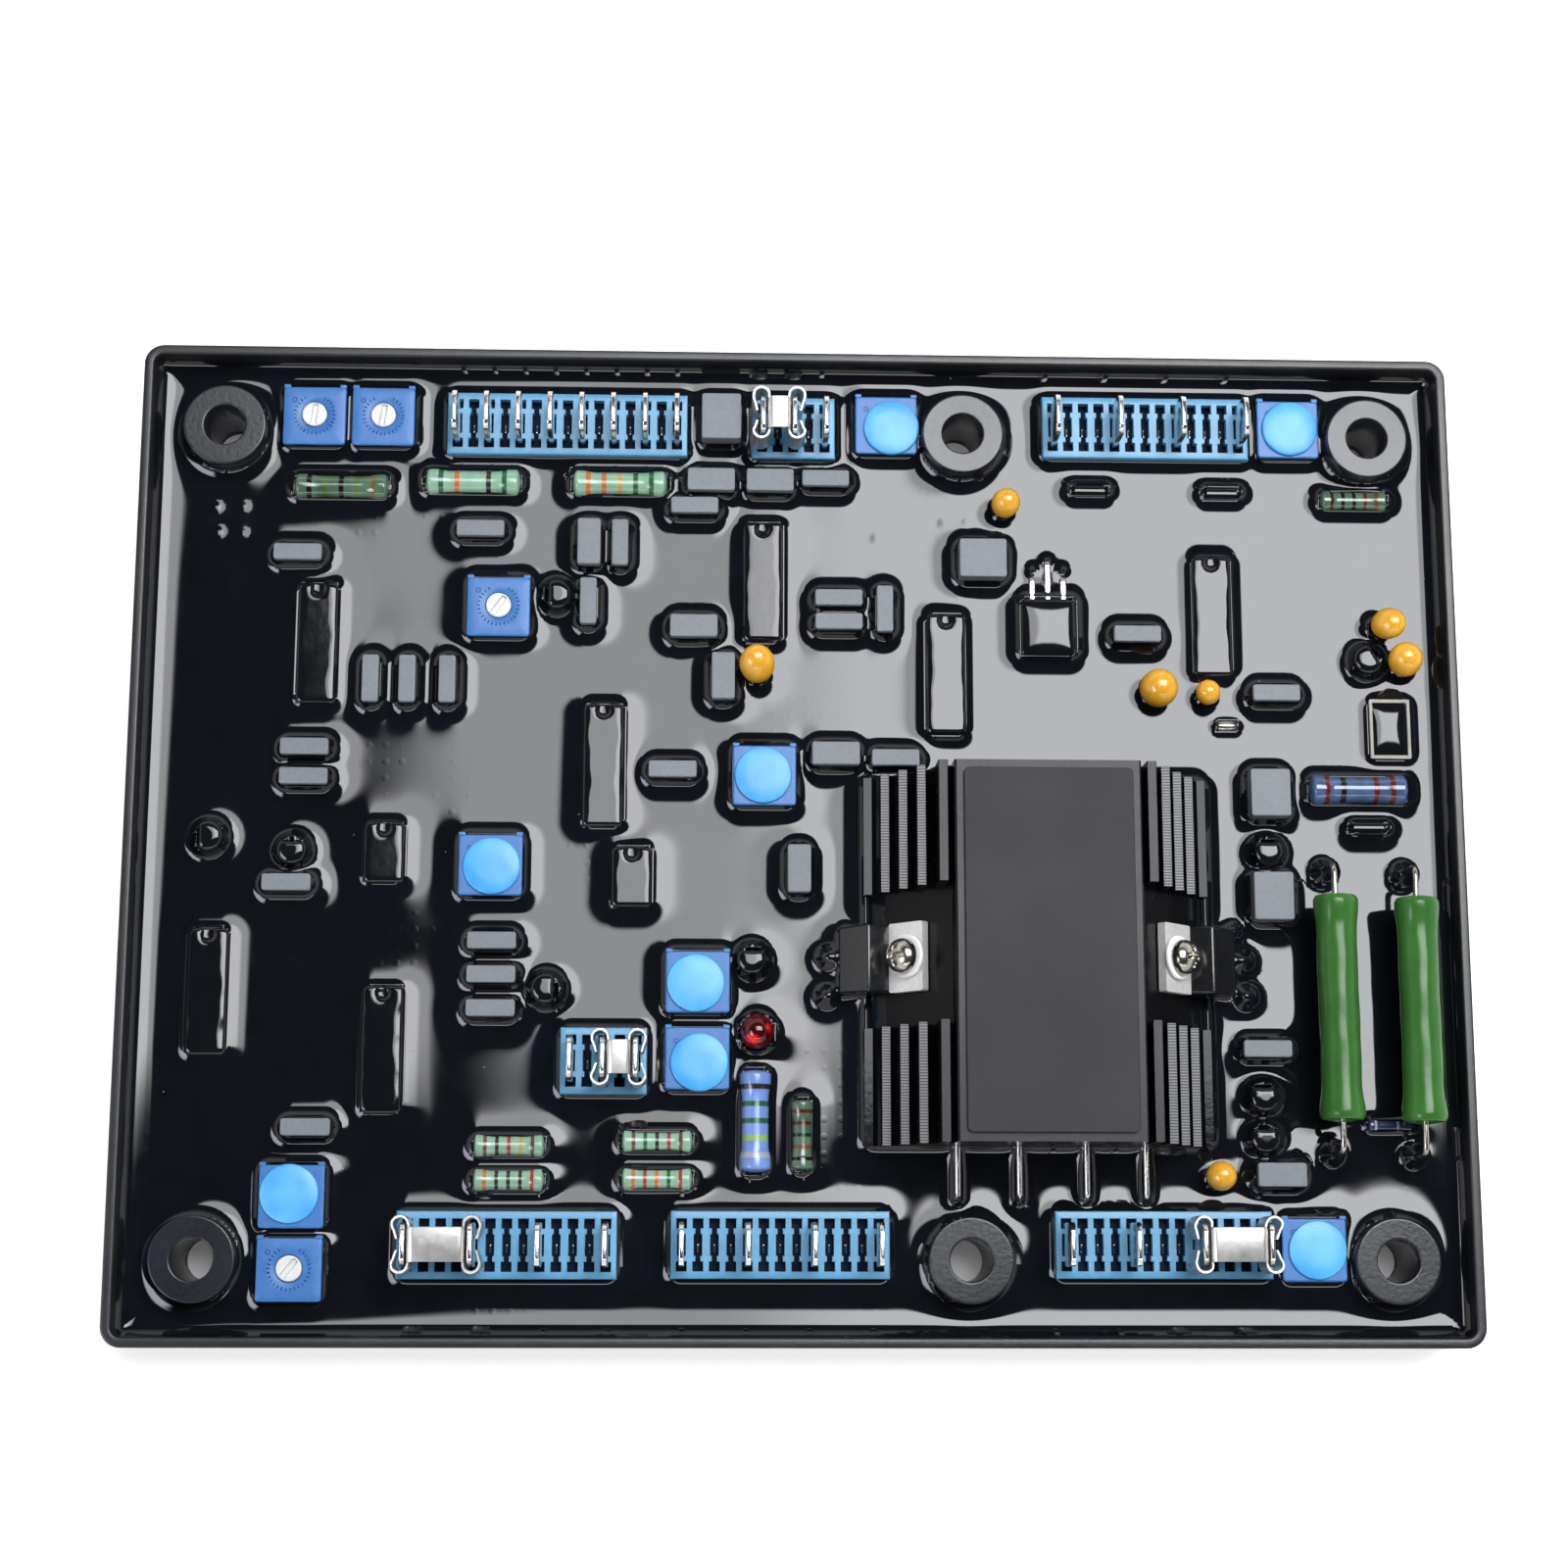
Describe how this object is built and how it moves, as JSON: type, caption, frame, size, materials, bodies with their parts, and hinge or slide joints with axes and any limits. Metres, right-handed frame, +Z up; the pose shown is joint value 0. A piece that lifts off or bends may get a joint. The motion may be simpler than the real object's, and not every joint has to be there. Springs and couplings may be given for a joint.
{
  "type": "automatic voltage regulator",
  "caption": "Potted generator voltage regulator: a shallow screw-down tray of black resin with a finned heat sink, blue trimmers, tab terminals and circuit parts standing out.",
  "frame": {"origin": "centre of the tray's underside", "axes": "+X along the tray's long side, the heat sink on the +X half; +Y towards the long side that the picture shows at the top; +Z up, out of the tray"},
  "size_m": [0.2, 0.15, 0.0288],
  "materials": {
    "tray": "satin black moulding",
    "resin": "glossy black casting resin",
    "board": "parts under a gloss black coat",
    "sink": "dark anodised",
    "plate": "matt black, blank",
    "module": "moulded black, coated",
    "lamp": "clear-tinted dark red",
    "trimmer": "satin blue",
    "rotor": "white",
    "seal": "pale blue",
    "strip": "satin pale blue",
    "amber": "glossy dipped",
    "tin": "bright tinned",
    "steel": "zinc-plated",
    "nylon": "white",
    "green": "vitreous gloss",
    "blue_coat": "lacquered with colour bands"
  },
  "bodies": {
    "unit": {"potting_tray": "tray", "potting_resin": "resin", "circuit_board": "board", "heat_sink": "sink", "name_plate": "plate", "power_module": "module", "small_regulator": "module", "indicator_lamp": "lamp", "trimmer_1": "trimmer", "trimmer_2": "trimmer", "trimmer_3": "trimmer", "trimmer_4": "trimmer", "trimmer_5": "trimmer", "trimmer_6": "trimmer", "trimmer_7": "trimmer", "trimmer_8": "trimmer", "trimmer_9": "trimmer", "trimmer_10": "trimmer", "trimmer_11": "trimmer", "trimmer_12": "trimmer", "trimmer_seal_3": "seal", "trimmer_seal_5": "seal", "trimmer_seal_6": "seal", "trimmer_seal_7": "seal", "trimmer_seal_8": "seal", "trimmer_seal_9": "seal", "trimmer_seal_10": "seal", "trimmer_seal_12": "seal", "terminal_strip_1": "strip", "tantalum_capacitor_1": "amber", "terminal_strip_2": "strip", "tantalum_capacitor_2": "amber", "terminal_strip_3": "strip", "tantalum_capacitor_3": "amber", "terminal_strip_4": "strip", "tantalum_capacitor_4": "amber", "terminal_strip_5": "strip", "tantalum_capacitor_5": "amber", "terminal_strip_6": "strip", "tantalum_capacitor_6": "amber", "terminal_strip_7": "strip", "tantalum_capacitor_7": "amber", "shorting_link_1": "tin", "shorting_link_2": "tin", "shorting_link_3": "tin", "shorting_link_4": "tin", "power_transistor_left": "module", "clamp_screw_left": "steel", "clamp_washer_left": "nylon", "power_transistor_right": "module", "clamp_screw_right": "steel", "clamp_washer_right": "nylon", "wirewound_resistor_1": "green", "power_resistor_1": "blue_coat", "wirewound_resistor_2": "green", "power_resistor_2": "blue_coat"},
    "rotor_1": {"trimmer_rotor_1": "rotor"},
    "rotor_2": {"trimmer_rotor_2": "rotor"},
    "rotor_4": {"trimmer_rotor_4": "rotor"},
    "rotor_11": {"trimmer_rotor_11": "rotor"}
  },
  "joints": [
    {"name": "turn_rotor_1", "type": "hinge", "parent": "unit", "child": "rotor_1", "pos_m": [-0.0743, 0.065, 0.0118], "axis": [0, 0, 1], "range_deg": [-135, 135]},
    {"name": "turn_rotor_2", "type": "hinge", "parent": "unit", "child": "rotor_2", "pos_m": [-0.0638, 0.065, 0.0118], "axis": [0, 0, 1], "range_deg": [-135, 135]},
    {"name": "turn_rotor_4", "type": "hinge", "parent": "unit", "child": "rotor_4", "pos_m": [-0.0456, 0.0352, 0.0118], "axis": [0, 0, 1], "range_deg": [-135, 135]},
    {"name": "turn_rotor_11", "type": "hinge", "parent": "unit", "child": "rotor_11", "pos_m": [-0.0738, -0.0638, 0.0118], "axis": [0, 0, 1], "range_deg": [-135, 135]}
  ]
}
